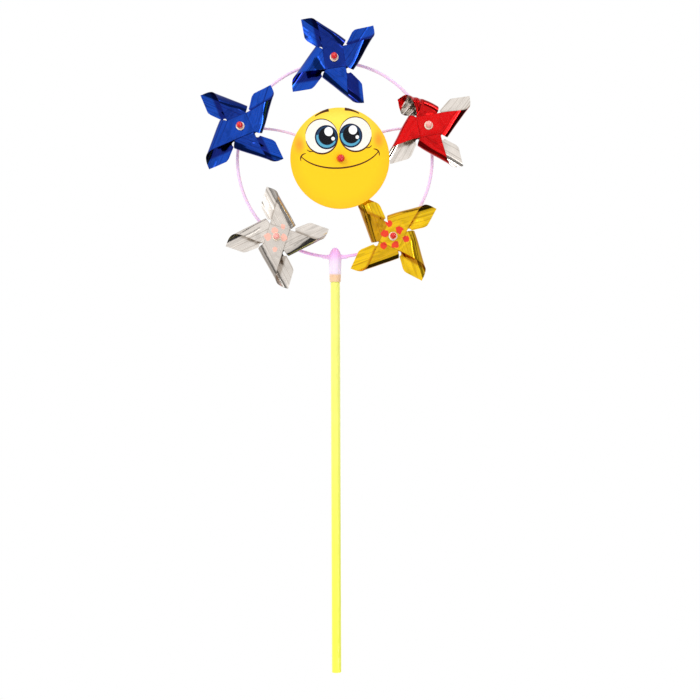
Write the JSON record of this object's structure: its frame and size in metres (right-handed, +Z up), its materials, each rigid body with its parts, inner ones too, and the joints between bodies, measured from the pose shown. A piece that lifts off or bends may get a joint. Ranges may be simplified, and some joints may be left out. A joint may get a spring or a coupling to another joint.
{
  "type": "pinwheel",
  "caption": "Hand-held wind toy: a thin hollow stick carries a moulded hoop with small folded foil wheels spinning on pins around a round smiling face disc.",
  "frame": {"origin": "centre of the stick's lower end, in its cut face", "axes": "+Z up along the stick, -Y towards the viewer of the face, +X to the viewer's right"},
  "size_m": [0.2004, 0.0351, 0.4888],
  "materials": {
    "stick_yellow": "extruded polypropylene tube, lemon yellow, satin gloss",
    "hoop_pink": "translucent pale pink moulded plastic, glossy",
    "foil_blue": "metallised film, mirror gloss, royal blue",
    "foil_red": "metallised film, mirror gloss, red inside and silver outside",
    "foil_gold": "metallised film, mirror gloss, gold with a printed centre",
    "foil_silver": "metallised film, mirror gloss, silver with a printed centre",
    "bush_ivory": "ivory moulded plastic",
    "pin_red": "translucent red moulded plastic, glossy",
    "face_yellow": "yellow plastic sheet with a printed face"
  },
  "bodies": {
    "frame": {"stick": "stick_yellow", "hoop_frame": "hoop_pink", "face_pin": "pin_red", "pin_top": "pin_red", "pin_upper_left": "pin_red", "pin_lower_left": "pin_red", "pin_lower_right": "pin_red", "pin_upper_right": "pin_red"},
    "face": {"face_disc": "face_yellow"},
    "wheel_top": {"foil_top": "foil_blue", "bush_top": "bush_ivory", "collar_top": "bush_ivory"},
    "wheel_upper_left": {"foil_upper_left": "foil_blue", "bush_upper_left": "bush_ivory", "collar_upper_left": "bush_ivory"},
    "wheel_lower_left": {"foil_lower_left": "foil_silver", "bush_lower_left": "bush_ivory", "collar_lower_left": "bush_ivory"},
    "wheel_lower_right": {"foil_lower_right": "foil_gold", "bush_lower_right": "bush_ivory", "collar_lower_right": "bush_ivory"},
    "wheel_upper_right": {"foil_upper_right": "foil_red", "bush_upper_right": "bush_ivory", "collar_upper_right": "bush_ivory"}
  },
  "joints": [
    {"name": "spin_top", "type": "hinge", "parent": "frame", "child": "wheel_top", "pos_m": [0, -0.0135, 0.4573], "axis": [0, -1, 0], "continuous": true},
    {"name": "spin_upper_left", "type": "hinge", "parent": "frame", "child": "wheel_upper_left", "pos_m": [-0.06943, -0.0135, 0.40686], "axis": [0, -1, 0], "continuous": true},
    {"name": "spin_lower_left", "type": "hinge", "parent": "frame", "child": "wheel_lower_left", "pos_m": [-0.04291, -0.0135, 0.32524], "axis": [0, -1, 0], "continuous": true},
    {"name": "spin_lower_right", "type": "hinge", "parent": "frame", "child": "wheel_lower_right", "pos_m": [0.04291, -0.0135, 0.32524], "axis": [0, -1, 0], "continuous": true},
    {"name": "spin_upper_right", "type": "hinge", "parent": "frame", "child": "wheel_upper_right", "pos_m": [0.06943, -0.0135, 0.40686], "axis": [0, -1, 0], "continuous": true},
    {"name": "turn_face", "type": "hinge", "parent": "frame", "child": "face", "pos_m": [0.00416, -0.02243, 0.3823], "axis": [0.1815, -0.9795, -0.0872], "continuous": true}
  ]
}
